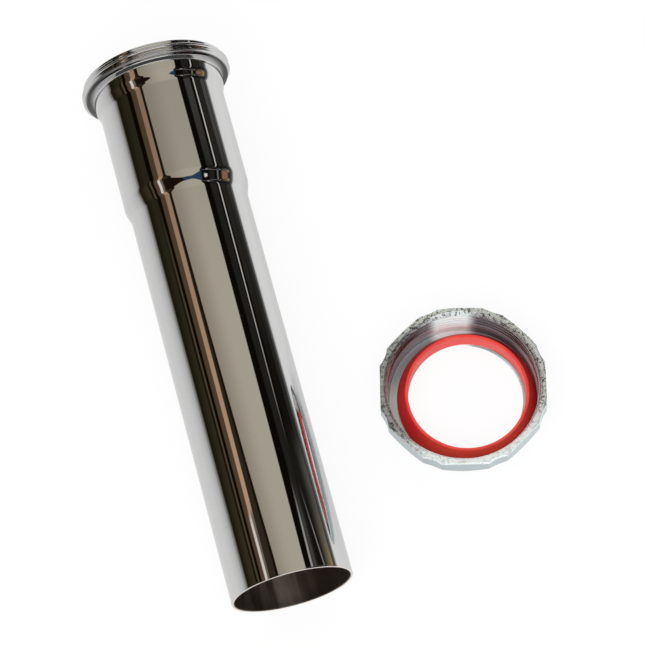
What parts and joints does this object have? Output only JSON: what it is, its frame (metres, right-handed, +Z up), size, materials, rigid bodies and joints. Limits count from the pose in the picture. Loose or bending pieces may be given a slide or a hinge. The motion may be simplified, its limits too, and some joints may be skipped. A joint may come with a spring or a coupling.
{
  "type": "basin waste tail pipe",
  "caption": "Belled round tube with a rolled thread at its mouth, lying with its octagonal slip nut and bevelled sealing washer beside it.",
  "frame": {"origin": "the middle of the base of the bounding box, on the surface that the parts lie on", "axes": "+Y along the pipe, from its plain end towards its collar; +Z up; the slip nut and washer lie on the +X side"},
  "size_m": [0.1, 0.15, 0.0409],
  "materials": {
    "chrome": "bright chromed brass, satin brass-grey inside",
    "plated_zinc": "bright plated zinc casting with a rough speckled rim",
    "red_rubber": "smooth satin red rubber"
  },
  "bodies": {
    "root": {"tail_pipe": "chrome", "slip_nut": "plated_zinc", "washer": "red_rubber"}
  },
  "joints": []
}
